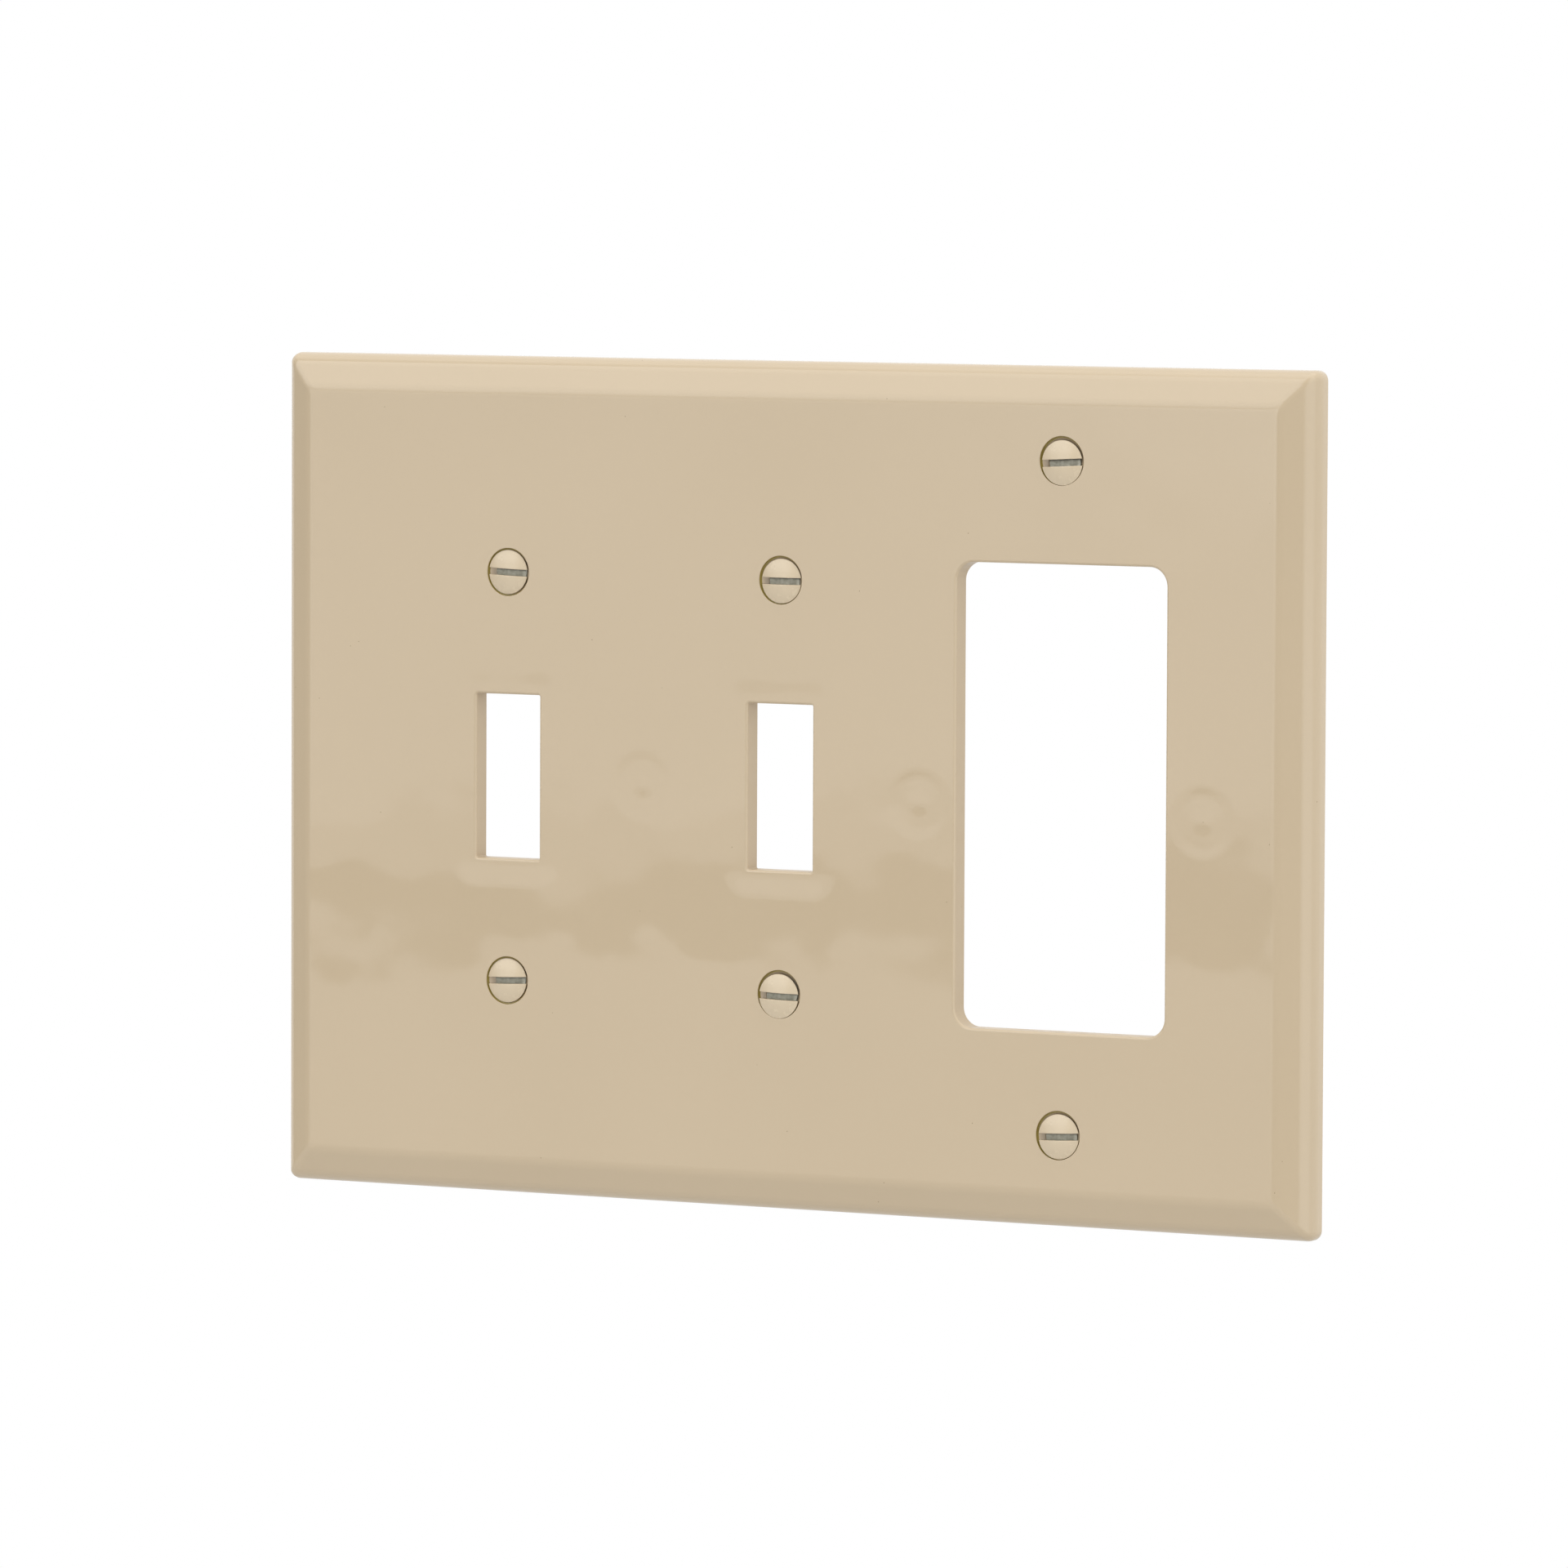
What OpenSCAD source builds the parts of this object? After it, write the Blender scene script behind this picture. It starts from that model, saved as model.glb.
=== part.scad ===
// Three-gang combination wall plate: two toggle openings and one decorator opening,
// held by six oval-head slotted machine screws.
// +X runs towards the decorator side, the front faces -Y and +Z is up.
// The origin is the centre of the plate on the wall plane, so everything behind Y = 0 is in the wall.

/* [Plate] */
// Width of the plate
plate_w = 171.45; // [165:0.05:210]
// Height of the plate
plate_h = 123.8; // [114:0.05:155]
// Depth from the wall to the front face
plate_depth = 5.7; // [5.2:0.05:7]
// Thickness of the front panel
panel_t = 2.4; // [1.8:0.1:2.8]
// Centre-to-centre distance between neighbouring gangs
gang_pitch = 46.0375; // [45:0.0125:50]

/* [Edge] */
// How far in from the outside the flat front face starts
bevel_inset = 5.1; // [4:0.1:7]
// Slope of the bevel, measured from the front face
bevel_angle = 24; // [18:1:28]
// Radius that turns the bevel into the side wall
edge_round = 3.2; // [2.4:0.1:3.6]
// Corner radius of the plate seen from the front
corner_r = 1.5; // [1:0.1:2]
// Thickness of the skirt that stands on the wall
skirt_t = 2.2; // [1.6:0.1:3]

/* [Toggle openings] */
// Width of a toggle opening
toggle_w = 10.8; // [9:0.1:13]
// Height of a toggle opening
toggle_h = 24.3; // [20:0.1:29.2]
// Corner radius of a toggle opening
toggle_corner_r = 0.25; // [0.2:0.05:1]
// Centre-to-centre distance between the two screws of a toggle gang
toggle_screw_spacing = 60.325; // [50:0.005:73]

/* [Decorator opening] */
// Width of the decorator opening
decorator_w = 34; // [28:0.1:36]
// Height of the decorator opening
decorator_h = 67.2; // [55:0.1:80]
// Corner radius of the decorator opening
decorator_corner_r = 2.8; // [1.5:0.1:4]
// Centre-to-centre distance between the two screws of the decorator gang
decorator_screw_spacing = 96.8375; // [96:0.0025:101]

/* [Screw holes] */
// Gap all round between the head and the shallow counterbore that it sinks into
counterbore_gap = 0.3; // [0.3:0.05:0.6]
// Depth of the counterbore below the front face
counterbore_depth = 0.47; // [0.43:0.01:0.6]
// How far the countersink below it reaches past the head all round
seat_margin = 0.05; // [0.02:0.01:0.1]
// Gap all round between the thread and the clearance hole that it passes through
hole_gap = 0.3475; // [0.3375:0.0025:0.6]
// Wall of the boss around each clearance hole at the back
boss_wall = 2.7; // [2:0.1:3.4]

/* [Screws] */
// Diameter of the screw head
head_d = 6.5; // [5.4:0.05:7.8]
// Height of the domed top above the head's rim
dome_h = 0.75; // [0.5:0.05:1]
// Thickness of the cylindrical rim between dome and cone
head_rim_t = 0.1; // [0.05:0.05:0.2]
// Included angle of the head's cone and of the countersink
cone_angle = 82; // [80:1:90]
// Width of the screwdriver slot
slot_w = 1; // [0.8:0.05:1.2]
// Depth of the slot's floor below the head's rim
slot_floor_depth = 0.95; // [0.5:0.05:1.2]
// Major diameter of the thread
thread_d = 3.505; // [3.3:0.005:4.3]
// Diameter of the plain neck between head and thread
neck_d = 3; // [2.6:0.1:3]
// Distance from the head's rim to the first thread
neck_end = 3.6; // [3.5:0.1:4]
// Length of the screw from the head's rim to its tip
screw_length = 12.7; // [10:0.1:19]
// Chamfer at the tip
tip_chamfer = 0.5; // [0.3:0.1:0.7]
// Gap between the head's cone and the countersink where a head comes to rest
seat_gap = 0.03; // [0.02:0.01:0.1]

/* [Back] */
// Depth of the collars and bosses, measured from the front face
collar_depth = 2.95; // [2.7:0.05:3.2]
// Width of the collar around each opening
collar_w = 1.6; // [1.2:0.1:2.4]
// Thickness of the stiffening ribs
rib_t = 1.2; // [0.8:0.1:1.6]
// Depth of the ribs, measured from the front face
rib_depth = 4.2; // [3.6:0.1:4.6]
// Gap between the outer screw bosses and the cross ribs
cross_rib_gap = 1.2; // [0.8:0.1:2]

/* [Hidden] */
$fn = 96;

ivory = [0.80, 0.73, 0.62];
painted_ivory = [0.84, 0.77, 0.66];

// Overlap that keeps joined solids and cuts free of shared faces
bite = 0.2;

// Edge profile: the bevel runs down from the front face until the round takes over
bevel_slope = tan(bevel_angle);
shoulder_depth = edge_round / cos(bevel_angle) + (bevel_inset - edge_round) * bevel_slope;
bevel_end_inset = edge_round * (1 - sin(bevel_angle));
bevel_end_depth = (bevel_inset - bevel_end_inset) * bevel_slope;

// Recess behind the panel, which follows the bevel at the panel's thickness
recess_bevel_drop = panel_t / cos(bevel_angle);
recess_flat_inset = bevel_inset + (recess_bevel_drop - panel_t) / bevel_slope;
recess_wall_depth = recess_bevel_drop + (bevel_inset - skirt_t) * bevel_slope;

// Columns of the three gangs
left_x = -gang_pitch;
middle_x = 0;
decorator_x = gang_pitch;
toggle_xs = [left_x, middle_x];
toggle_screw_z = toggle_screw_spacing / 2;
decorator_screw_z = decorator_screw_spacing / 2;

// How far each screw hangs off the centre of its hole, as [X, Z], and how far its slot is
// turned clockwise from level, seen from the front
left_top = ["left top", left_x, toggle_screw_z, [-0.12, 0], 2.2];
left_bottom = ["left bottom", left_x, -toggle_screw_z, [-0.10, 0], -1.8];
middle_top = ["middle top", middle_x, toggle_screw_z, [0.07, -0.13], 0.2];
middle_bottom = ["middle bottom", middle_x, -toggle_screw_z, [-0.05, -0.28], 1.7];
decorator_top = ["decorator top", decorator_x, decorator_screw_z, [0.05, -0.26], -3];
decorator_bottom = ["decorator bottom", decorator_x, -decorator_screw_z, [0.07, -0.18], -2];
screws = [left_top, left_bottom, middle_top, middle_bottom, decorator_top, decorator_bottom];

// The cones of head and countersink have the same angle, so a head that hangs off centre
// rides up its countersink until the two touch on one side
cone_slope = tan(cone_angle / 2);
counterbore_d = head_d + 2 * counterbore_gap;
countersink_d = head_d + 2 * seat_margin;
clearance_hole_d = thread_d + 2 * hole_gap;
boss_d = clearance_hole_d + 2 * boss_wall;
countersink_depth = (countersink_d - clearance_hole_d) / 2 / cone_slope;
centred_rim_depth = counterbore_depth + seat_margin / cone_slope - head_rim_t - seat_gap;
dome_r = (pow(head_d / 2, 2) + pow(dome_h, 2)) / (2 * dome_h);
cone_h = (head_d - neck_d) / 2 / cone_slope;

function rim_depth(offset) = centred_rim_depth - norm(offset) / cone_slope;

// Turns a shape drawn in X and Y so that it lies in X and Z and grows from the given depth
// behind the front face towards the wall
module behind_front(from_depth, thickness) {
    translate([0, from_depth + thickness - plate_depth, 0])
        rotate([90, 0, 0])
            linear_extrude(thickness)
                children();
}

module rounded_rectangle(w, h, r) {
    square([w - 2 * r, h], center = true);
    square([w, h - 2 * r], center = true);
    for (x = [-1, 1], y = [-1, 1])
        translate([x * (w / 2 - r), y * (h / 2 - r)])
            circle(r = r);
}

// Cross-section of the plate's outside: flat face, bevel, round and side wall
module outside_section(span) {
    half = span / 2;
    polygon([
        [-half, 0],
        [-half, shoulder_depth - plate_depth],
        [bevel_end_inset - half, bevel_end_depth - plate_depth],
        [bevel_inset - half, -plate_depth],
        [half - bevel_inset, -plate_depth],
        [half - bevel_end_inset, bevel_end_depth - plate_depth],
        [half, shoulder_depth - plate_depth],
        [half, 0]
    ]);
    intersection() {
        for (side = [-1, 1])
            translate([side * (half - edge_round), shoulder_depth - plate_depth])
                circle(r = edge_round);
        translate([-half, -plate_depth])
            square([span, plate_depth]);
    }
}

// Cross-section of the recess behind the panel
module recess_section(span) {
    half = span / 2;
    polygon([
        [skirt_t - half, bite],
        [skirt_t - half, recess_wall_depth - plate_depth],
        [recess_flat_inset - half, panel_t - plate_depth],
        [half - recess_flat_inset, panel_t - plate_depth],
        [half - skirt_t, recess_wall_depth - plate_depth],
        [half - skirt_t, bite]
    ]);
}

// The same edge on all four sides, meeting in mitres at the corners
module mitred_outside() {
    intersection() {
        linear_extrude(plate_h, center = true)
            outside_section(plate_w);
        rotate([0, 90, 0])
            linear_extrude(plate_w, center = true)
                outside_section(plate_h);
        behind_front(0, plate_depth)
            rounded_rectangle(plate_w, plate_h, corner_r);
    }
}

module mitred_recess() {
    intersection() {
        linear_extrude(plate_h, center = true)
            recess_section(plate_w);
        rotate([0, 90, 0])
            linear_extrude(plate_w, center = true)
                recess_section(plate_h);
    }
}

// Collars around the openings, bosses around the screw holes and the ribs between them
module stiffeners() {
    collar_t = collar_depth - panel_t + bite;
    rib_h = rib_depth - panel_t + bite;
    cross_rib_z = decorator_screw_z + boss_d / 2 + cross_rib_gap;
    toggle_collar_z = toggle_h / 2 + collar_w / 2;
    decorator_collar_z = decorator_h / 2 + collar_w / 2;
    behind_front(panel_t - bite, collar_t) {
        for (x = toggle_xs)
            translate([x, 0])
                square([toggle_w + 2 * collar_w, toggle_h + 2 * collar_w], center = true);
        translate([decorator_x, 0])
            rounded_rectangle(
                decorator_w + 2 * collar_w,
                decorator_h + 2 * collar_w,
                decorator_corner_r + collar_w
            );
        for (s = screws)
            translate([s[1], s[2]])
                circle(d = boss_d);
        for (x = toggle_xs, side = [-1, 1])
            web(x, side * toggle_collar_z, side * toggle_screw_z);
        for (side = [-1, 1])
            web(decorator_x, side * decorator_collar_z, side * decorator_screw_z);
    }
    behind_front(panel_t - bite, rib_h) {
        for (column = [-1.5, -0.5, 0.5, 1.5])
            translate([column * gang_pitch, 0])
                square([rib_t, plate_h - 2 * skirt_t + 2 * bite], center = true);
        for (side = [-1, 1])
            translate([0, side * cross_rib_z])
                square([plate_w - 2 * skirt_t + 2 * bite, rib_t], center = true);
    }
}

// Upright web that joins an opening's collar to a screw boss
module web(x, from_z, to_z) {
    translate([x - rib_t / 2, min(from_z, to_z)])
        square([rib_t, abs(to_z - from_z)]);
}

// Counterbore, countersink and clearance hole of one screw
module screw_hole(x, z) {
    translate([x, -plate_depth, z])
        rotate([-90, 0, 0]) {
            translate([0, 0, -bite])
                cylinder(d = clearance_hole_d, h = plate_depth + 2 * bite);
            translate([0, 0, -bite])
                cylinder(d = counterbore_d, h = counterbore_depth + bite);
            translate([0, 0, counterbore_depth])
                cylinder(d1 = countersink_d, d2 = clearance_hole_d, h = countersink_depth);
        }
}

module wall_plate() {
    color(ivory)
        difference() {
            union() {
                difference() {
                    mitred_outside();
                    mitred_recess();
                }
                stiffeners();
            }
            behind_front(-bite, plate_depth) {
                for (x = toggle_xs)
                    translate([x, 0])
                        rounded_rectangle(toggle_w, toggle_h, toggle_corner_r);
                translate([decorator_x, 0])
                    rounded_rectangle(decorator_w, decorator_h, decorator_corner_r);
            }
            for (s = screws)
                screw_hole(s[1], s[2]);
        }
}

// One screw, drawn along +Z with the head's rim at Z = 0 and turned to point into the wall
module oval_head_screw(s) {
    offset = s[3];
    translate([s[1] + offset[0], rim_depth(offset) - plate_depth, s[2] + offset[1]])
        rotate([-90, 0, 0])
            color(painted_ivory)
                difference() {
                    union() {
                        intersection() {
                            translate([0, 0, dome_r - dome_h])
                                sphere(r = dome_r);
                            translate([0, 0, -dome_h])
                                cylinder(d = head_d, h = dome_h + head_rim_t);
                        }
                        translate([0, 0, head_rim_t])
                            cylinder(d1 = head_d, d2 = neck_d, h = cone_h);
                        translate([0, 0, head_rim_t])
                            cylinder(d = neck_d, h = neck_end);
                        translate([0, 0, neck_end])
                            cylinder(d = thread_d, h = screw_length - neck_end - tip_chamfer);
                        translate([0, 0, screw_length - tip_chamfer])
                            cylinder(d1 = thread_d, d2 = thread_d - 2 * tip_chamfer, h = tip_chamfer);
                    }
                    rotate([0, 0, s[4]])
                        translate([-head_d, -slot_w / 2, -dome_h - bite])
                            cube([2 * head_d, slot_w, dome_h + bite + slot_floor_depth]);
                }
}

module left_toggle_screw_top() {
    oval_head_screw(left_top);
}

module left_toggle_screw_bottom() {
    oval_head_screw(left_bottom);
}

module middle_toggle_screw_top() {
    oval_head_screw(middle_top);
}

module middle_toggle_screw_bottom() {
    oval_head_screw(middle_bottom);
}

module decorator_screw_top() {
    oval_head_screw(decorator_top);
}

module decorator_screw_bottom() {
    oval_head_screw(decorator_bottom);
}

wall_plate();
left_toggle_screw_top();
left_toggle_screw_bottom();
middle_toggle_screw_top();
middle_toggle_screw_bottom();
decorator_screw_top();
decorator_screw_bottom();
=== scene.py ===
"""Looks of a three-gang combination wall plate and its six oval-head machine screws.

Every length is in millimetres until MM turns it into metres. The frame is the CAD's: the plate's
front faces -Y, the wall is the plane Y = 0, and +X runs towards the decorator opening.
"""
import math
from collections import namedtuple

import bmesh
import bpy
from mathutils import Matrix, Vector


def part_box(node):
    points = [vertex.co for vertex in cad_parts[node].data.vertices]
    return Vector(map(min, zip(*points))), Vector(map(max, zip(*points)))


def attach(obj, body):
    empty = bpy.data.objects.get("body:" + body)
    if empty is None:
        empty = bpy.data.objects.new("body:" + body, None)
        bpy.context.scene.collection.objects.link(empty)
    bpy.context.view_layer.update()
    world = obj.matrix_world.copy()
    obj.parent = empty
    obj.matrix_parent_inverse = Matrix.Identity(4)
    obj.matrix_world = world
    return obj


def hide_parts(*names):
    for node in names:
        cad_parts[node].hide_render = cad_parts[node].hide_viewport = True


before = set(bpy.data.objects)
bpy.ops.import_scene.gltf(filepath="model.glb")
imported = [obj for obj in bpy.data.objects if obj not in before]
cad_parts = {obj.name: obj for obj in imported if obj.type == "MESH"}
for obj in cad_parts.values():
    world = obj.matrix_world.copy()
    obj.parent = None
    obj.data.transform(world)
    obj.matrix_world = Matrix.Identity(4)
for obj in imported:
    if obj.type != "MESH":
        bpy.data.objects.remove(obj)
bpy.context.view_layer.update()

MM = 0.001

# The plate's outside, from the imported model
plate_low, plate_high = (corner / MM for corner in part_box("wall_plate"))
PLATE_W = plate_high.x - plate_low.x
PLATE_H = plate_high.z - plate_low.z
PLATE_DEPTH = -plate_low.y

# Edge of the plate, from the front face to the recess behind the panel
PANEL_T = 2.4
BEVEL_INSET = 5.1
BEVEL_ANGLE = math.radians(24)
EDGE_ROUND = 3.2
CREASE_ROUND = 4.2
CORNER_R = 1.5
MITRE_R = 0.9
SKIRT_T = 2.2
RIM_ROUND = 0.25
RECESS_FILLET = 0.5

# Collars, bosses, webs and ribs behind the panel. ROOT is how far a shape is sunk into the one that
# carries it, and SKIN keeps faces apart that would coincide where two shapes cross.
COLLAR_W = 1.6
COLLAR_DEPTH = 2.95
RIB_T = 1.2
RIB_DEPTH = 4.2
RIB_CORNER_R = 0.1
RIB_COLUMNS = (-1.5, -0.5, 0.5, 1.5)
CROSS_RIB_GAP = 1.2
BOSS_D = 9.6
BACK_ROUND = 0.15
ROOT = 0.3
SKIN = 0.002

# Marks of the mould's ejector pins: beside which rib, on which side of it and at which heights
PIN_MARK_D = 4.5
PIN_MARK_DEPTH = 0.12
PIN_MARK_OFFSET = 4.6
PIN_MARK_COLUMNS = ((-1.5, -1), (-0.5, -1), (0.5, -1), (1.5, 1))
PIN_MARK_ROWS = (-40.0, -14.0, 14.0, 40.0)

# Gangs: each has an opening with a collar round it, and a screw above and below it
GANG_PITCH = 46.0375
Gang = namedtuple("Gang", "x width height corner_r corner_steps collar_r collar_steps screw_z")
TOGGLE = {
    "width": 10.8, "height": 24.3, "corner_r": 0.25, "corner_steps": 6,
    "collar_r": 0.4, "collar_steps": 4, "screw_z": 60.325 / 2,
}
DECORATOR = {
    "width": 34.0, "height": 67.2, "corner_r": 2.8, "corner_steps": 14,
    "collar_r": 2.8 + COLLAR_W, "collar_steps": 10, "screw_z": 96.8375 / 2,
}
LEFT, MIDDLE = Gang(x=-GANG_PITCH, **TOGGLE), Gang(x=0.0, **TOGGLE)
RIGHT = Gang(x=GANG_PITCH, **DECORATOR)
GANGS = (LEFT, MIDDLE, RIGHT)
OPENING_ROUND = 0.4

# Screw holes
HOLE_D = 4.2
COUNTERBORE_D = 7.1
COUNTERBORE_DEPTH = 0.47
COUNTERBORE_ROUND = 0.08
COUNTERSINK_D = 6.6
CONE_SLOPE = math.tan(math.radians(41))
CUTTER_REACH = 1.0

# Screws
HEAD_D = 6.5
DOME_H = 0.75
RIM_T = 0.1
SLOT_W = 1.0
SLOT_FLOOR = 0.95
SLOT_ROUND = 0.08
NECK_D = 3.0
NECK_FILLET = 0.25
NECK_END = 3.6
THREAD_D = 3.505
THREAD_ROOT_D = 2.6
THREAD_PITCH = 25.4 / 32
THREAD_FADE = 0.6
SCREW_LENGTH = 12.7
TIP_CHAMFER = 0.5

# Sides of what is round
BOSS_SIDES = 64
PIN_MARK_SIDES = 40
HOLE_SIDES = 96
HEAD_SIDES = 96
SHANK_SIDES = 64

# The slot of each screw, in degrees clockwise from level as seen from the front
SCREWS = {
    "left_toggle_screw_top": 2.2,
    "left_toggle_screw_bottom": -1.8,
    "middle_toggle_screw_top": 0.2,
    "middle_toggle_screw_bottom": 1.7,
    "decorator_screw_top": -3.0,
    "decorator_screw_bottom": -2.0,
}

# Colours, as linear red, green, blue and alpha
IVORY_DEEP = (0.572, 0.459, 0.311, 1)
IVORY_PALE = (0.604, 0.487, 0.335, 1)
# Painted shade for the walls inside the openings
IVORY_WALL_SHADE = (0.42, 0.315, 0.19, 1)
SPECK = (0.24, 0.17, 0.10, 1)
# Painted shade for the gap of the counterbores round the heads
GROOVE_SHADE = (0.30, 0.225, 0.035, 1)
ENAMEL_DEEP = (0.655, 0.540, 0.380, 1)
ENAMEL_PALE = (0.69, 0.575, 0.410, 1)
ZINC_STAINED = (0.275, 0.27, 0.22, 1)
ZINC_CLEAN = (0.41, 0.40, 0.335, 1)
# Painted shade for the slot's floor under its upper lip
ZINC_SHADE = (0.06, 0.055, 0.045, 1)
ZINC_ROOT = (0.12, 0.11, 0.09, 1)
ZINC_CREST = (0.72, 0.73, 0.71, 1)
FLOOR_DARK = (0.585, 0.585, 0.585, 1)
FLOOR_LIGHT = (0.615, 0.615, 0.615, 1)

# Surface of the plate: roughness of its polished front, and heights of its warp and sinks
FRONT_ROUGHNESS = 0.018
WARP = 0.050
SINK = 0.020

# Swirls in the plastic: beside which rib and at which height
SWIRLS = ((-0.5, -0.5), (0.5, -1.5), (1.5, -2.5))

# Light tent: radiance of each of its parts
TENT = 0.16
TENT_LEFT = 0.15
TENT_RIGHT = 1.66
SOFTBOX = 2.11
OVERHEAD = 1.7
SWEEP = 1.3
SWEEP_GLOW = 1.9
SWEEP_FOOT = 0.85
TABLE_EDGE = 0.03
TABLE = 1.0

# Light tent: where its parts lie, in degrees of azimuth towards +X and degrees of elevation
LEFT_ACROSS = (-45, -70)
RIGHT_ACROSS = (44, 76)
SOFTBOX_ACROSS, SOFTBOX_UP = (-62, -8), (22, 100)
OVERHEAD_UP = (52, 68)
SWEEP_ACROSS, SWEEP_UP = (-46, -12), (-4.6, 8)
GLOW_ACROSS, GLOW_UP = (-29.5, -26.5), (-2.8, -1.5)
FOOT_UP = (-4.21, -3.86)
EDGE_UP = (-4.56, -4.22)
TABLE_UP = (-12, -4.6)

# Floor, far enough below the plate to stay out of the photograph's view
FLOOR_R = 1200
FLOOR_DROP = 300


# ---- Mesh building ---------------------------------------------------------------------------

def arc(centre, radius, start, end, steps):
    """Points of an arc in a plane, from one angle to another in degrees."""
    points = []
    for i in range(steps + 1):
        a = math.radians(start + (end - start) * i / steps)
        points.append((centre[0] + radius * math.cos(a), centre[1] + radius * math.sin(a)))
    return points


def rounded_outline(half_w, half_h, radius, steps):
    """Outline of a rounded rectangle as X and Z, anticlockwise from the right side's lower end."""
    points = []
    for sx, sz, start in ((1, 1, 0), (-1, 1, 90), (-1, -1, 180), (1, -1, 270)):
        centre = (sx * (half_w - radius), sz * (half_h - radius))
        points += arc(centre, radius, start, start + 90, steps)
    return points


def circle_outline(radius, steps):
    """Outline of a circle with the given number of points."""
    return arc((0, 0), radius, 0, 360 * (steps - 1) / steps, steps - 1)


def skin_loops(loops):
    """Closed solid through a stack of outlines with the same number of points."""
    mesh = bmesh.new()
    rings = [[mesh.verts.new(p) for p in loop] for loop in loops]
    count = len(rings[0])
    for low, high in zip(rings, rings[1:]):
        for i in range(count):
            j = (i + 1) % count
            mesh.faces.new((low[i], low[j], high[j], high[i]))
    mesh.faces.new(rings[0][::-1])
    mesh.faces.new(rings[-1])
    bmesh.ops.recalc_face_normals(mesh, faces=mesh.faces[:])
    return mesh


def as_object(name, mesh):
    """Object in the scene from a mesh in millimetres."""
    data = bpy.data.meshes.new(name)
    bmesh.ops.scale(mesh, vec=(MM, MM, MM), verts=mesh.verts[:])
    mesh.to_mesh(data)
    mesh.free()
    piece = bpy.data.objects.new(name, data)
    bpy.context.scene.collection.objects.link(piece)
    return piece


def prism(name, centre, outline, profile):
    """Solid on the plate that goes through a profile of (size, depth behind the front face)
    pairs. The outline is a function of that size: an inset, a growth or a radius."""
    loops = []
    for size, depth in profile:
        y = depth - PLATE_DEPTH
        loops.append([(centre[0] + x, y, centre[1] + z) for x, z in outline(size)])
    return as_object(name, skin_loops(loops))


def combine(target, tools, operation):
    """Joins the tools to the target or cuts them out of it, and removes them."""
    for tool in tools:
        modifier = target.modifiers.new("combine", "BOOLEAN")
        modifier.operation = operation
        modifier.solver = "EXACT"
        modifier.object = tool
    bpy.context.view_layer.update()
    evaluated = target.evaluated_get(bpy.context.evaluated_depsgraph_get())
    data = bpy.data.meshes.new_from_object(evaluated)
    target.modifiers.clear()
    target.data = data
    for tool in tools:
        bpy.data.objects.remove(tool)


# ---- Wall plate ------------------------------------------------------------------------------

def edge_profile():
    """The plate's edge as (inset, depth) pairs: flat front, crease, bevel, round, side wall, rim
    on the wall, inside of the skirt, then the recess behind the panel."""
    round_steps, rim_steps = 12, 3
    slope = math.tan(BEVEL_ANGLE)
    degrees = math.degrees(BEVEL_ANGLE)
    shoulder = EDGE_ROUND / math.cos(BEVEL_ANGLE) + (BEVEL_INSET - EDGE_ROUND) * slope
    reach = CREASE_ROUND * math.tan(BEVEL_ANGLE / 2)
    points = []
    # The crease is an arc that touches both the face and the bevel
    for inset, depth in arc((0, CREASE_ROUND), CREASE_ROUND, 270, 270 - degrees, round_steps):
        points.append((BEVEL_INSET + reach + inset, depth))
    # The round turns the bevel into the side wall
    points += arc((EDGE_ROUND, shoulder), EDGE_ROUND, 270 - degrees, 180, round_steps)
    # The rim that stands on the wall
    points += arc((RIM_ROUND, PLATE_DEPTH - RIM_ROUND), RIM_ROUND, 180, 90, rim_steps)
    points += arc((SKIRT_T - RIM_ROUND, PLATE_DEPTH - RIM_ROUND), RIM_ROUND, 90, 0, rim_steps)
    # The recess follows the bevel at the panel's thickness, with a fillet at each of its corners
    drop = PANEL_T / math.cos(BEVEL_ANGLE)
    wall_depth = drop + (BEVEL_INSET - SKIRT_T) * slope
    flat_inset = BEVEL_INSET + (drop - PANEL_T) / slope
    fillet = RECESS_FILLET
    points += [(SKIRT_T, wall_depth + fillet), (SKIRT_T + 0.3 * fillet, wall_depth + 0.1 * fillet)]
    points.append((SKIRT_T + fillet, wall_depth - fillet * slope))
    points.append((flat_inset - 0.8 * fillet, PANEL_T + 0.8 * fillet * slope))
    points += [(flat_inset, PANEL_T + 0.08 * fillet), (flat_inset + fillet, PANEL_T)]
    return points


def plate_shell():
    """The moulding without its openings and stiffeners."""
    def outline(inset):
        radius = max(CORNER_R - inset, MITRE_R)
        return rounded_outline(PLATE_W / 2 - inset, PLATE_H / 2 - inset, radius, 8)
    return prism("plate_shell", (0, 0), outline, edge_profile())


def standing_profile(depth):
    """(inset, depth) pairs of what stands on the back of the panel, with a softened edge."""
    softened = 0.3 * BACK_ROUND
    return [
        (0, PANEL_T - ROOT),
        (0, depth - BACK_ROUND),
        (softened, depth - softened),
        (BACK_ROUND, depth),
    ]


def block(name, centre, half_w, half_h, radius, depth, steps=4):
    """Block with rounded corners that stands on the back of the panel."""
    def outline(inset):
        return rounded_outline(half_w - inset, half_h - inset, max(radius - inset, 0.05), steps)
    return prism(name, centre, outline, standing_profile(depth))


def collar(gang):
    half_w, half_h = gang.width / 2 + COLLAR_W, gang.height / 2 + COLLAR_W
    centre = (gang.x, 0)
    return block("collar", centre, half_w, half_h, gang.collar_r, COLLAR_DEPTH, gang.collar_steps)


def web(gang, side):
    """Web that runs from the opening's collar to the boss above (1) or below (-1) it."""
    middle = side * (gang.height / 2 + gang.screw_z) / 2
    half_h = (gang.screw_z - gang.height / 2) / 2
    depth = COLLAR_DEPTH - 2 * SKIN
    return block("web", (gang.x, middle), RIB_T / 2, half_h, RIB_CORNER_R, depth)


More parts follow.
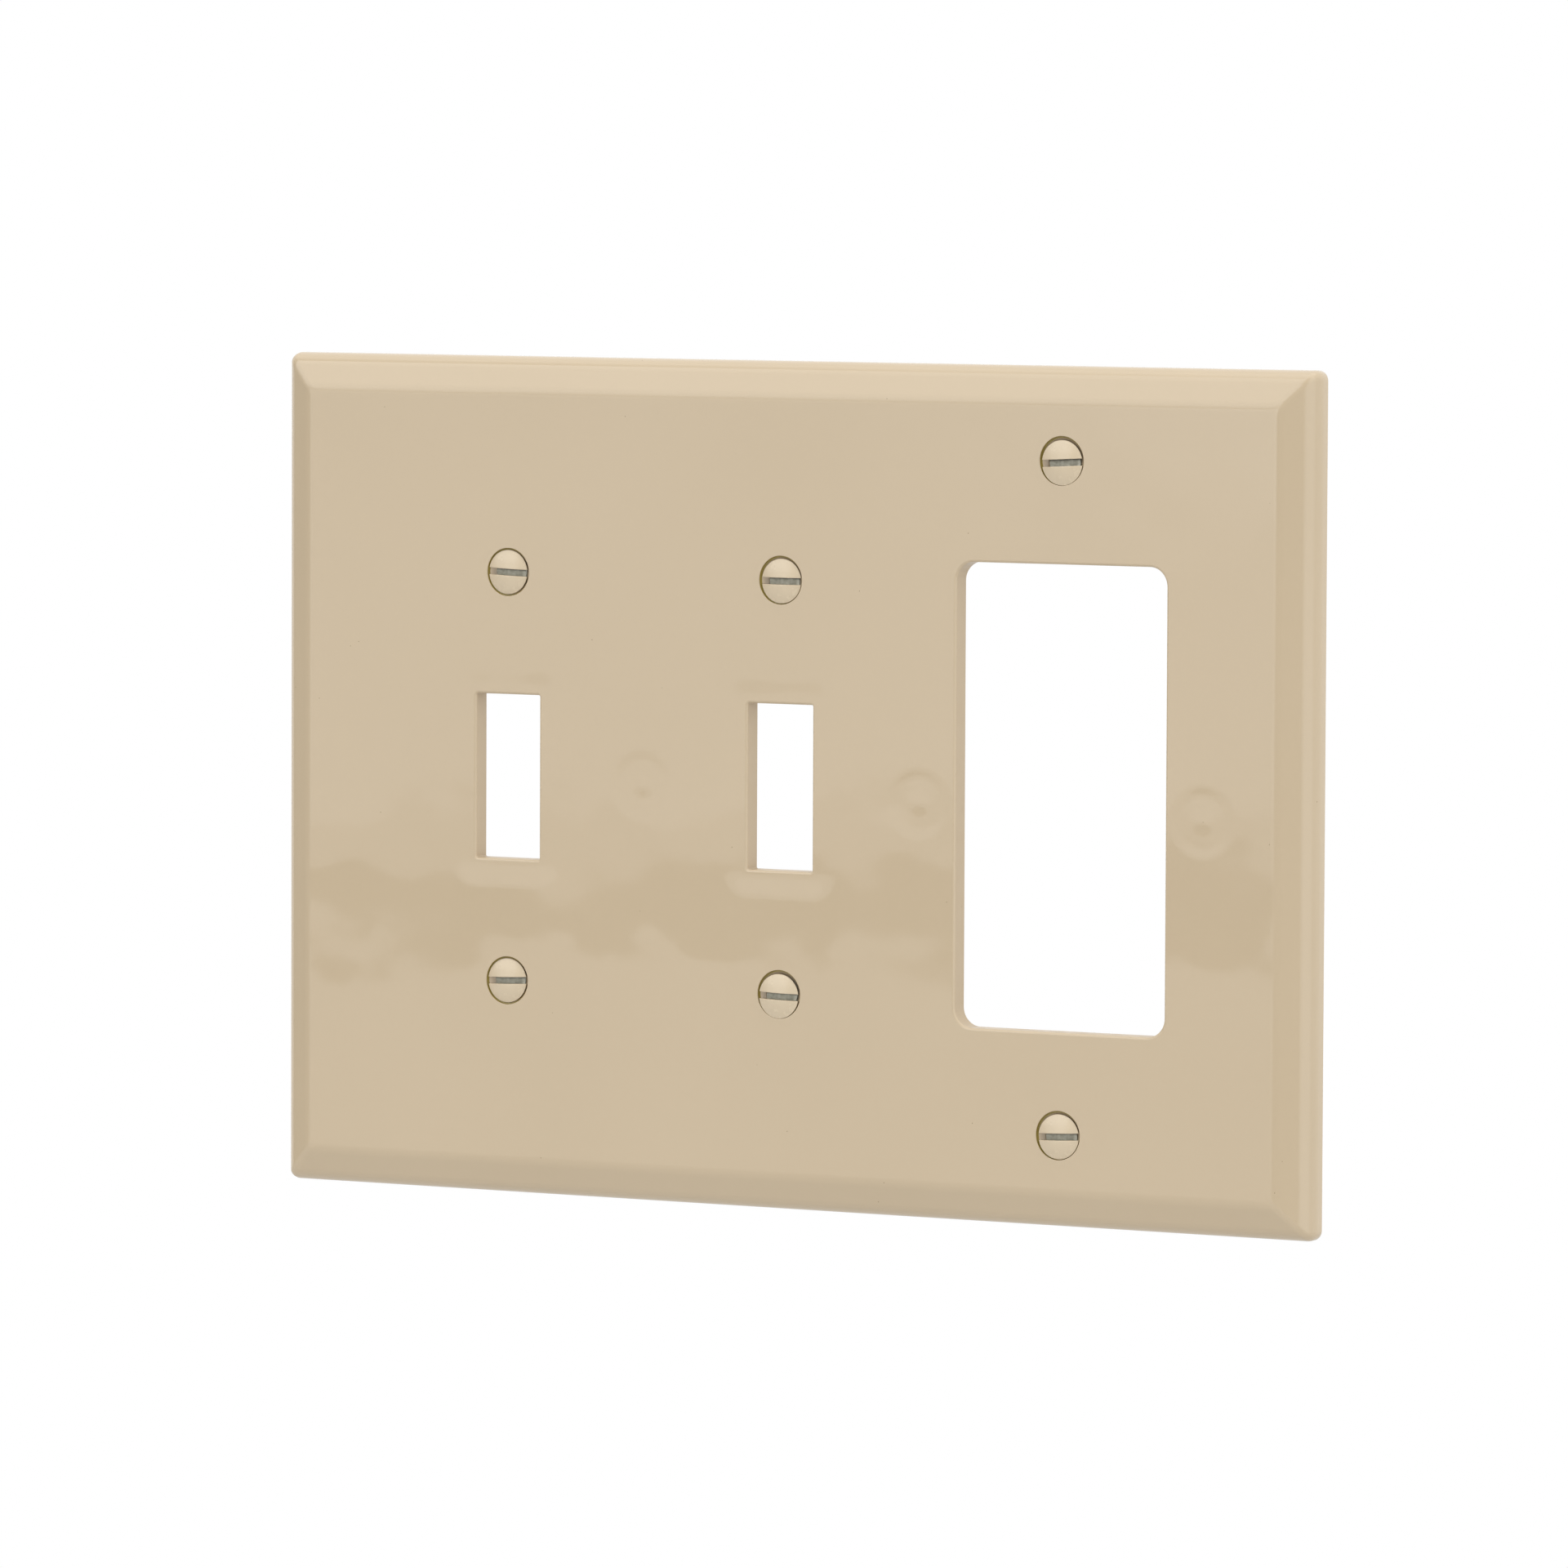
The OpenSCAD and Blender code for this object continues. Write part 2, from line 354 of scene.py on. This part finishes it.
def boss(x, z):
    def outline(inset):
        return circle_outline(BOSS_D / 2 - inset, BOSS_SIDES)
    return prism("boss", (x, z), outline, standing_profile(COLLAR_DEPTH - SKIN))


def stiffeners():
    blocks = []
    for gang in GANGS:
        blocks.append(collar(gang))
        for side in (-1, 1):
            blocks.append(web(gang, side))
            blocks.append(boss(gang.x, side * gang.screw_z))
    for column in RIB_COLUMNS:
        centre = (column * GANG_PITCH, 0)
        half_h = PLATE_H / 2 - SKIRT_T + ROOT
        blocks.append(block("rib", centre, RIB_T / 2, half_h, RIB_CORNER_R, RIB_DEPTH))
    cross_z = RIGHT.screw_z + BOSS_D / 2 + CROSS_RIB_GAP
    for side in (-1, 1):
        half_w = PLATE_W / 2 - SKIRT_T + ROOT
        depth = RIB_DEPTH - 2 * SKIN
        blocks.append(block("rib", (0, side * cross_z), half_w, RIB_T / 2, RIB_CORNER_R, depth))
    return blocks


def cutter_profile(edge_round, end_depth):
    """(growth, depth) pairs of a straight cutter that flares where it meets the front face."""
    steps = 6
    first_angle = 80
    points = [(edge_round * 1.2, -CUTTER_REACH), (edge_round * 1.02, -0.01)]
    for i in range(steps + 1):
        a = math.radians(first_angle - first_angle * i / steps)
        points.append((edge_round * (1 - math.cos(a)), edge_round * (1 - math.sin(a))))
    points.append((0, end_depth))
    return points


def cut_openings(plate):
    cutters = []
    profile = cutter_profile(OPENING_ROUND, COLLAR_DEPTH + CUTTER_REACH)
    for gang in GANGS:
        def outline(grow, gang=gang):
            half_w, half_h = gang.width / 2 + grow, gang.height / 2 + grow
            return rounded_outline(half_w, half_h, gang.corner_r + grow, gang.corner_steps)
        cutters.append(prism("opening", (gang.x, 0), outline, profile))
    combine(plate, cutters, "DIFFERENCE")


def screw_spots():
    return [(gang.x, side * gang.screw_z) for gang in GANGS for side in (-1, 1)]


def cut_screw_holes(plate):
    """Shallow counterbore with a softened edge, a ledge, the countersink and a clearance hole."""
    bore, sink, hole = COUNTERBORE_D / 2, COUNTERSINK_D / 2, HOLE_D / 2
    cone_end = COUNTERBORE_DEPTH + (sink - hole) / CONE_SLOPE
    fillet = 0.11
    wall = cutter_profile(COUNTERBORE_ROUND, COUNTERBORE_DEPTH - fillet)
    profile = [(bore + grow, depth) for grow, depth in wall]
    profile += [(bore - 0.03, COUNTERBORE_DEPTH - 0.03), (bore - fillet, COUNTERBORE_DEPTH)]
    profile += [(sink + 0.03, COUNTERBORE_DEPTH), (sink, COUNTERBORE_DEPTH + 0.02)]
    profile += [(hole, cone_end), (hole, COLLAR_DEPTH + CUTTER_REACH)]

    def outline(radius):
        return circle_outline(radius, HOLE_SIDES)
    cutters = [prism("hole", spot, outline, profile) for spot in screw_spots()]
    combine(plate, cutters, "DIFFERENCE")


def mark_back(plate):
    """Shallow round marks that the mould's ejector pins leave on the back of the panel."""
    floor_depth = PANEL_T - PIN_MARK_DEPTH
    profile = [(PIN_MARK_D / 2 - 0.05, floor_depth), (PIN_MARK_D / 2, floor_depth + 0.6)]

    def outline(radius):
        return circle_outline(radius, PIN_MARK_SIDES)
    cutters = []
    for column, side in PIN_MARK_COLUMNS:
        x = column * GANG_PITCH + side * PIN_MARK_OFFSET
        cutters += [prism("pin_mark", (x, z), outline, profile) for z in PIN_MARK_ROWS]
    combine(plate, cutters, "DIFFERENCE")


def make_plate():
    plate = plate_shell()
    combine(plate, stiffeners(), "UNION")
    cut_openings(plate)
    cut_screw_holes(plate)
    mark_back(plate)
    plate.name = "moulded_plate"
    finish_shading(plate, 35)
    return plate


def finish_shading(piece, sharp_degrees):
    """Smooth shading that keeps flat faces flat and edges crisp."""
    mesh = piece.data
    mesh.polygons.foreach_set("use_smooth", [True] * len(mesh.polygons))
    mesh.set_sharp_from_angle(angle=math.radians(sharp_degrees))
    modifier = piece.modifiers.new("flat_faces", "WEIGHTED_NORMAL")
    modifier.mode = "FACE_AREA"
    modifier.weight = 100
    modifier.keep_sharp = True


# ---- Screws ----------------------------------------------------------------------------------

def dome_height(radius):
    """Height of the oval head above its rim, at a distance from its axis."""
    sphere = ((HEAD_D / 2) ** 2 + DOME_H ** 2) / (2 * DOME_H)
    return math.sqrt(sphere ** 2 - radius ** 2) - (sphere - DOME_H)


def head_loops(sides):
    """Rings of the oval head along +Z, in a frame where the rim lies at Z = 0: the dome, the rim
    with both its edges eased by hundredths of a millimetre, and the cone down to the neck."""
    half = HEAD_D / 2
    dome_steps = 14
    dome_radii = [half * i / dome_steps for i in range(1, dome_steps)] + [half - 0.06]
    points = [(radius, -dome_height(radius)) for radius in dome_radii] + [(half - 0.012, -0.022)]
    points += [(half, 0.01), (half, RIM_T - 0.02), (half - 0.02, RIM_T + 0.01)]
    points.append((NECK_D / 2 + NECK_FILLET, head_end() - NECK_FILLET / CONE_SLOPE))
    points.append((NECK_D / 2, head_end()))
    return [[(x, y, z) for x, y in circle_outline(radius, sides)] for radius, z in points]


def head_end():
    """How far below the rim the head's cone has narrowed to the neck."""
    return RIM_T + (HEAD_D / 2 - NECK_D / 2) / CONE_SLOPE


def thread_radius(phase):
    """Radius of a 60 degree thread at a share of its pitch: root, flank, crest, flank."""
    crest, root = 0.14, 0.2
    flank = (1 - crest - root) / 2
    phase = phase % 1.0
    if phase < root:
        lift = 0.0
    elif phase < root + flank:
        lift = (phase - root) / flank
    elif phase < root + flank + crest:
        lift = 1.0
    else:
        lift = 1.0 - (phase - root - flank - crest) / flank
    return (THREAD_ROOT_D + (THREAD_D - THREAD_ROOT_D) * lift) / 2


def shank_loops(sides):
    """Rings of the neck and of the helical thread, which fades in from the neck and ends in a
    chamfer at the tip."""
    neck_zs = (head_end() - ROOT, head_end())
    rings = [[(x, y, z) for x, y in circle_outline(NECK_D / 2, sides)] for z in neck_zs]
    first = NECK_END - 0.15
    steps = 140
    for k in range(steps + 1):
        z = first + (SCREW_LENGTH - first) * k / steps
        fade = min((z - first) / THREAD_FADE, 1)
        tip_limit = THREAD_D / 2 - max(0, z - SCREW_LENGTH + TIP_CHAMFER)
        ring = []
        for i in range(sides):
            a = 2 * math.pi * i / sides
            r = NECK_D / 2 + (thread_radius(z / THREAD_PITCH - i / sides) - NECK_D / 2) * fade
            r = min(r, tip_limit)
            ring.append((r * math.cos(a), r * math.sin(a), z))
        rings.append(ring)
    return rings


def slot_cutter():
    """Straight slot with its edges rounded over where it leaves the dome."""
    half = SLOT_W / 2
    rows = []
    steps = 24
    reach = HEAD_D / 2 + 0.6
    for k in range(steps + 1):
        u = -reach + 2 * reach * k / steps
        edge = min(math.hypot(u, half), HEAD_D / 2)
        top = -dome_height(edge)
        side = [(half, SLOT_FLOOR), (half, top + SLOT_ROUND)]
        for degrees in (26, 52, 78):
            a = math.radians(degrees)
            side.append((half + SLOT_ROUND * (1 - math.cos(a)), top + SLOT_ROUND * (1 - math.sin(a))))
        side.append((half + SLOT_ROUND * 1.6, -DOME_H - CUTTER_REACH))
        row = [(u, v, z) for v, z in side]
        row += [(u, -v, z) for v, z in reversed(side)]
        rows.append(row)
    return skin_loops(rows)


def make_screw(node, slot_turn):
    """Head and shank of one screw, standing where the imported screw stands."""
    low, high = (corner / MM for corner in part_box(node))
    x, z = (low.x + high.x) / 2, (low.z + high.z) / 2
    rim_y = high.y - SCREW_LENGTH
    head = as_object(node + "_head", skin_loops(head_loops(HEAD_SIDES)))
    combine(head, [as_object("slot", slot_cutter())], "DIFFERENCE")
    shank = as_object(node + "_shank", skin_loops(shank_loops(SHANK_SIDES)))
    stand = Matrix.Translation(Vector((x, rim_y, z)) * MM) @ Matrix.Rotation(math.radians(-90), 4, "X")
    stand = stand @ Matrix.Rotation(math.radians(slot_turn), 4, "Z")
    for piece, sharp_degrees in ((head, 32), (shank, 40)):
        piece.matrix_world = stand
        finish_shading(piece, sharp_degrees)
    return head, shank


# ---- Materials -------------------------------------------------------------------------------

class Nodes:
    """Short way to build a node tree out of values."""

    def __init__(self, tree):
        self.tree = tree

    def make(self, kind, inputs, output=0, **settings):
        """New node with the given settings. Each input is a constant or another node's output."""
        node = self.tree.nodes.new(kind)
        for name, value in settings.items():
            setattr(node, name, value)
        for name, value in inputs.items():
            if isinstance(value, bpy.types.NodeSocket):
                self.tree.links.new(value, node.inputs[name])
            else:
                node.inputs[name].default_value = value
        return node.outputs[output]

    def math(self, operation, *values):
        inputs = dict(enumerate(values))
        return self.make("ShaderNodeMath", inputs, operation=operation)

    def ramp(self, value, start, end, low=0.0, high=1.0):
        """Smooth step from low to high while the value goes from start to end."""
        inputs = {"Value": value, 1: start, 2: end, 3: low, 4: high}
        return self.make("ShaderNodeMapRange", inputs, interpolation_type="SMOOTHSTEP")

    def between(self, value, start, end, soft):
        """1 between start and end, falling to 0 over the given softness on both sides."""
        rise = self.ramp(value, start - soft, start)
        fall = self.ramp(value, end, end + soft, 1.0, 0.0)
        return self.math("MULTIPLY", rise, fall)

    def noise(self, where, per_mm, detail=2.0, roughness=0.5):
        """Noise between 0 and 1 with the given number of features per millimetre."""
        inputs = {"Vector": where, "Scale": per_mm, "Detail": detail, "Roughness": roughness}
        return self.make("ShaderNodeTexNoise", inputs)

    def mix(self, factor, a, b):
        inputs = {0: factor, 6: a, 7: b}
        return self.make("ShaderNodeMix", inputs, output=2, data_type="RGBA")

    def millimetres(self):
        """Position in the piece's own frame, in millimetres."""
        where = self.make("ShaderNodeTexCoord", {}, output=3)
        return self.make("ShaderNodeVectorMath", {0: where, 3: 1 / MM}, operation="SCALE")

    def parts(self, vector):
        first = self.make("ShaderNodeSeparateXYZ", {0: vector})
        return list(first.node.outputs)

    def share(self, factor, a, b):
        """Number that goes from a to b with the factor."""
        keep = self.math("SUBTRACT", 1.0, factor)
        return self.math("ADD", self.math("MULTIPLY", a, keep), self.math("MULTIPLY", b, factor))

    def distance(self, vector, point):
        inputs = {0: vector, 1: point}
        return self.make("ShaderNodeVectorMath", inputs, output=1, operation="DISTANCE")

    def past(self, value, half, centre=0.0):
        """How far a coordinate lies past either end of a stretch of the given half length."""
        away = self.math("ABSOLUTE", self.math("SUBTRACT", value, centre))
        return self.math("SUBTRACT", away, half)

    def bump(self, height_mm):
        """Normal of a surface raised by a height in millimetres."""
        height = self.math("MULTIPLY", height_mm, MM)
        return self.make("ShaderNodeBump", {"Height": height, "Distance": 1.0, "Strength": 1.0})


def new_material(name):
    material = bpy.data.materials.new(name)
    material.use_nodes = True
    return material, Nodes(material.node_tree), material.node_tree.nodes["Principled BSDF"]


def plug(nodes, shader, **sockets):
    """Links outputs to the shader's inputs, whose names are written with underscores."""
    for name, value in sockets.items():
        nodes.tree.links.new(value, shader.inputs[name.replace("_", " ")])


def plate_plastic():
    """Glossy ivory thermoset: mottled by its filler, slightly warped, satin at the back."""
    material, n, shader = new_material("ivory_thermoset")
    where = n.millimetres()
    flat = n.make("ShaderNodeVectorMath", {0: where, 1: (1, 0, 1)}, operation="MULTIPLY")
    to_screw = 100.0
    for x, z in screw_spots():
        to_screw = n.math("MINIMUM", n.distance(flat, (x, 0, z)), to_screw)
    # The normal's Y, which is -1 on the front face and 1 on the back
    facing = n.parts(n.make("ShaderNodeTexCoord", {}, output=1))[1]
    inside = opening_walls(n, where, facing)

    colour = plate_colour(n, where, to_screw, inside)
    roughness = plate_roughness(n, where, facing, inside)
    relief = plate_relief(n, where, flat, to_screw, facing)
    plug(n, shader, Base_Color=colour, Roughness=roughness, Normal=n.bump(relief))
    shader.inputs["IOR"].default_value = 1.52
    return material


def opening_walls(n, where, facing):
    """1 on the walls inside the openings."""
    x, _, z = n.parts(where)
    inside = 0.0
    for gang in GANGS:
        past_side = n.past(x, gang.width / 2, gang.x)
        past_end = n.past(z, gang.height / 2)
        within = n.ramp(n.math("MAXIMUM", past_side, past_end), 0.12, 0.04)
        inside = n.math("MAXIMUM", within, inside)
    return n.math("MULTIPLY", inside, n.ramp(facing, -0.4, -0.1))


def plate_colour(n, where, to_screw, inside):
    # Slow drift, fine mottling of the filler and a few dark specks
    drift = n.noise(where, 0.03, 1.0)
    mottle = n.noise(where, 1.6, 4.0, 0.6)
    blend = n.math("ADD", n.math("MULTIPLY", drift, 0.7), n.math("MULTIPLY", mottle, 0.3))
    colour = n.mix(blend, IVORY_DEEP, IVORY_PALE)
    cells = n.make("ShaderNodeTexVoronoi", {"Vector": where, "Scale": 0.22}, output=0)
    speck = n.ramp(cells, 0.012, 0.022, 0.75, 0.0)
    colour = n.mix(speck, colour, SPECK)

    # Painted shade: the narrow gap of the counterbores round the heads is darkened to an olive brown
    # where shadow falls
    y = n.parts(where)[1]
    groove = n.between(to_screw, COUNTERSINK_D / 2 + 0.03, COUNTERBORE_D / 2 + 0.02, 0.04)
    groove = n.math("MULTIPLY", groove, n.between(y, 0.2 - PLATE_DEPTH, 0.6 - PLATE_DEPTH, 0.17))
    colour = n.mix(n.math("MULTIPLY", groove, 0.9), colour, GROOVE_SHADE)

    # Painted shade: the walls inside the openings are darkened in colour where they lie in shade
    return n.mix(n.math("MULTIPLY", inside, 0.45), colour, IVORY_WALL_SHADE)


def plate_roughness(n, where, facing, inside):
    """Polished front with faint handling marks, scuffed rim, satin back and opening walls."""
    y = n.parts(where)[1]
    smear = n.noise(where, 0.09, 3.0, 0.6)
    gloss = n.ramp(smear, 0.35, 0.75, FRONT_ROUGHNESS, FRONT_ROUGHNESS * 1.7)
    scuff = n.math("MULTIPLY", n.ramp(y, -2.2, -0.2), n.ramp(n.noise(where, 0.9, 3.0), 0.4, 0.7))
    gloss = n.math("ADD", gloss, n.math("MULTIPLY", scuff, 0.14))
    satin = n.math("MAXIMUM", n.ramp(facing, 0.1, 0.4), inside)
    satin_gloss = n.ramp(n.noise(where, 0.5, 3.0), 0.3, 0.7, 0.30, 0.42)
    return n.share(satin, gloss, satin_gloss)


def plate_relief(n, where, flat, to_screw, facing):
    """Height in millimetres: warp of the moulding, sinks over the bosses and round the toggle
    openings, swirls where the plastic flowed together, and a fine grain at the back."""
    x, _, z = n.parts(where)
    height = n.math("MULTIPLY", n.noise(where, 0.055, 1.0), WARP)
    height = n.math("ADD", height, n.math("MULTIPLY", n.noise(where, 0.16, 1.0), WARP * 0.07))
    height = n.math("ADD", height, n.ramp(to_screw, 3.4, 8.5, -SINK * 0.15, 0.0))
    for gang in (LEFT, MIDDLE):
        past_side = n.math("MAXIMUM", n.past(x, gang.width / 2, gang.x), 0.0)
        past_end = n.math("MAXIMUM", n.past(z, gang.height / 2), 0.0)
        away = n.math("ADD", n.math("POWER", past_side, 2.0), n.math("POWER", past_end, 2.0))
        sink = n.ramp(n.math("SQRT", away), 0.5, 4.5, -SINK, 0.0)
        height = n.math("ADD", height, sink)
    for column, swirl_z in SWIRLS:
        away = n.distance(flat, (column * GANG_PITCH, 0, swirl_z))
        ring = n.math("MULTIPLY", n.between(away, 2.2, 3.4, 2.2), -SINK * 0.4)
        height = n.math("ADD", height, ring)
    grain = n.math("MULTIPLY", n.noise(where, 2.5, 2.0), n.ramp(facing, 0.1, 0.4, 0.00002, 0.006))
    return n.math("ADD", height, grain)


def zinc_look(n, where):
    """Colour and roughness of dull, slightly stained zinc plating."""
    stain = n.noise(where, 0.8, 4.0, 0.6)
    colour = n.mix(n.ramp(stain, 0.3, 0.7), ZINC_STAINED, ZINC_CLEAN)
    roughness = n.ramp(n.noise(where, 2.4, 3.0), 0.3, 0.7, 0.30, 0.48)
    return colour, roughness


def screw_paint():
    """Ivory enamel on the head. It stops short of the slot's floor and is chipped along the
    slot's edges, where the zinc shows."""
    material, n, shader = new_material("ivory_enamel")
    where = n.millimetres()
    # In the screw's own frame the slot runs along X, -Y is up and Z is the depth below the rim
    y, z = n.parts(where)[1:]

    rough_edge = n.math("MULTIPLY", n.math("SUBTRACT", n.noise(where, 1.8, 3.0), 0.5), 0.5)
    deep = n.ramp(n.math("ADD", z, rough_edge), 0.42, 0.60)
    beside_slot = n.between(n.math("ABSOLUTE", y), SLOT_W / 2 - 0.05, SLOT_W / 2 + 0.06, 0.05)
    chipped = n.math("MULTIPLY", beside_slot, n.ramp(n.noise(where, 1.1, 2.0), 0.66, 0.71))
    bare = n.math("MAXIMUM", deep, chipped)

    enamel = n.mix(n.noise(where, 0.7, 3.0), ENAMEL_DEEP, ENAMEL_PALE)
    zinc, zinc_roughness = zinc_look(n, where)
    # Painted shade: the floor of the slot is darkened under its upper lip, where that lip's shadow
    # falls
    lip_shade = n.math("MULTIPLY", n.ramp(y, -0.05, -0.45), n.ramp(z, 0.4, 0.8, 0.0, 0.75))
    zinc = n.mix(lip_shade, zinc, ZINC_SHADE)

    gloss = n.ramp(n.noise(where, 0.9, 2.0), 0.3, 0.7, 0.20, 0.30)
    roughness = n.share(bare, gloss, zinc_roughness)
    peel = n.math("MULTIPLY", n.noise(where, 1.3, 2.0), 0.006)
    height = n.math("ADD", peel, n.math("MULTIPLY", bare, -0.02))
    colour = n.mix(bare, enamel, zinc)
    plug(n, shader, Base_Color=colour, Metallic=bare, Roughness=roughness, Normal=n.bump(height))
    shader.inputs["IOR"].default_value = 1.5
    return material


def screw_zinc():
    """Zinc plating of the neck and thread, darker in the thread's roots and rubbed bright on its
    crests."""
    material, n, shader = new_material("zinc_plate")
    where = n.millimetres()
    x, y = n.parts(where)[:2]
    colour, roughness = zinc_look(n, where)
    radius = n.math("SQRT", n.math("ADD", n.math("MULTIPLY", x, x), n.math("MULTIPLY", y, y)))
    root = n.ramp(radius, THREAD_ROOT_D / 2, THREAD_ROOT_D / 2 + 0.18, 0.55, 0.0)
    crest = n.math("MULTIPLY", n.ramp(radius, THREAD_D / 2 - 0.08, THREAD_D / 2 - 0.01), 0.6)
    colour = n.mix(root, colour, ZINC_ROOT)
    colour = n.mix(crest, colour, ZINC_CREST)
    height = n.math("MULTIPLY", n.noise(where, 3.0, 3.0), 0.008)
    plug(n, shader, Base_Color=colour, Roughness=roughness, Normal=n.bump(height))
    shader.inputs["Metallic"].default_value = 1.0
    return material


# ---- Studio ----------------------------------------------------------------------------------

def make_world():
    """White light tent. It has a softbox at the photograph's upper left, a bright right side and a
    dim left one, and far in front of the plate a bright sweep meets a dark table edge just below
    the horizon."""
    world = bpy.data.worlds.new("light_tent")
    bpy.context.scene.world = world
    world.use_nodes = True
    n = Nodes(world.node_tree)
    x, y, z = n.parts(n.make("ShaderNodeTexCoord", {}, output=0))
    # Degrees towards +X from straight in front of the plate, and degrees above the horizon
    azimuth = n.math("DEGREES", n.math("ARCTAN2", x, n.math("MULTIPLY", y, -1.0)))
    elevation = n.math("DEGREES", n.math("ARCSINE", z))

    def paint(level, radiance, mask, other=None):
        """Level with a radiance painted over it where the masks are 1."""
        if other is not None:
            mask = n.math("MULTIPLY", mask, other)
        gain = n.math("MULTIPLY", mask, n.math("SUBTRACT", radiance, level))
        return n.math("ADD", level, gain)

    # The tent is white behind the plate and dim in front of it
    front = n.ramp(y, 0.05, -0.05)
    level = paint(1.0, TENT, front)
    level = paint(level, TENT_LEFT, front, n.ramp(azimuth, *LEFT_ACROSS))
    level = paint(level, TENT_RIGHT, front, n.between(azimuth, *RIGHT_ACROSS, soft=27))
    box_height = n.between(elevation, *SOFTBOX_UP, soft=18)
    level = paint(level, SOFTBOX, box_height, n.between(azimuth, *SOFTBOX_ACROSS, soft=8))
    level = paint(level, OVERHEAD, n.ramp(elevation, *OVERHEAD_UP))

    # What the face reflects towards the camera: the sweep with its glow and foot, the dark edge
    # of the table, and the table below it
    ahead = n.between(azimuth, *SWEEP_ACROSS, soft=6)
    sweep = n.math("MULTIPLY", ahead, n.between(elevation, *SWEEP_UP, soft=3))
    glow = n.math("MULTIPLY", n.ramp(azimuth, *GLOW_ACROSS), n.ramp(elevation, *GLOW_UP))
    level = paint(level, SWEEP, sweep)
    level = paint(level, SWEEP_GLOW, sweep, glow)
    level = paint(level, SWEEP_FOOT, ahead, n.between(elevation, *FOOT_UP, soft=0.05))
    level = paint(level, TABLE_EDGE, ahead, n.between(elevation, *EDGE_UP, soft=0.04))
    level = paint(level, TABLE, ahead, n.between(elevation, *TABLE_UP, soft=0.04))

    background = world.node_tree.nodes["Background"]
    world.node_tree.links.new(level, background.inputs["Strength"])
    background.inputs["Color"].default_value = (1, 1, 1, 1)


def make_floor():
    mesh = bmesh.new()
    bmesh.ops.create_circle(mesh, cap_ends=True, segments=96, radius=FLOOR_R)
    floor = as_object("floor", mesh)
    floor.location.z = -FLOOR_DROP * MM
    material, n, shader = new_material("pale_floor")
    plug(n, shader, Base_Color=n.mix(n.noise(n.millimetres(), 0.02, 3.0), FLOOR_DARK, FLOOR_LIGHT))
    shader.inputs["Roughness"].default_value = 0.9
    floor.data.materials.append(material)


def make_camera():
    """Long lens from the front right, slightly above, as a product photographer would stand. The
    camera's place is in metres."""
    azimuth, elevation, roll = math.radians(29.37), math.radians(3.71), math.radians(0.24)
    distance = 1.557
    aim = Vector((-0.0019, -0.0010, 0.0002))
    back = Vector((
        math.sin(azimuth) * math.cos(elevation),
        -math.cos(azimuth) * math.cos(elevation),
        math.sin(elevation),
    ))
    turn = back.to_track_quat("Z", "Y").to_matrix().to_4x4() @ Matrix.Rotation(roll, 4, "Z")
    data = bpy.data.cameras.new("camera")
    data.lens = 245.2
    data.sensor_width = 36
    camera = bpy.data.objects.new("camera", data)
    bpy.context.scene.collection.objects.link(camera)
    camera.matrix_world = Matrix.Translation(aim + back * distance) @ turn
    bpy.context.scene.camera = camera


# ---- Build -----------------------------------------------------------------------------------

def place(piece, material, body, node):
    """Gives a piece its finish and lets it ride on its body in place of its CAD node."""
    piece.data.materials.clear()
    piece.data.materials.append(material)
    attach(piece, body)
    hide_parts(node)


place(make_plate(), plate_plastic(), "plate", "wall_plate")
enamel, zinc = screw_paint(), screw_zinc()
for node, slot_turn in SCREWS.items():
    head, shank = make_screw(node, slot_turn)
    place(head, enamel, node, node)
    place(shank, zinc, node, node)

make_floor()
make_world()
make_camera()
bpy.context.scene.view_settings.view_transform = "Standard"
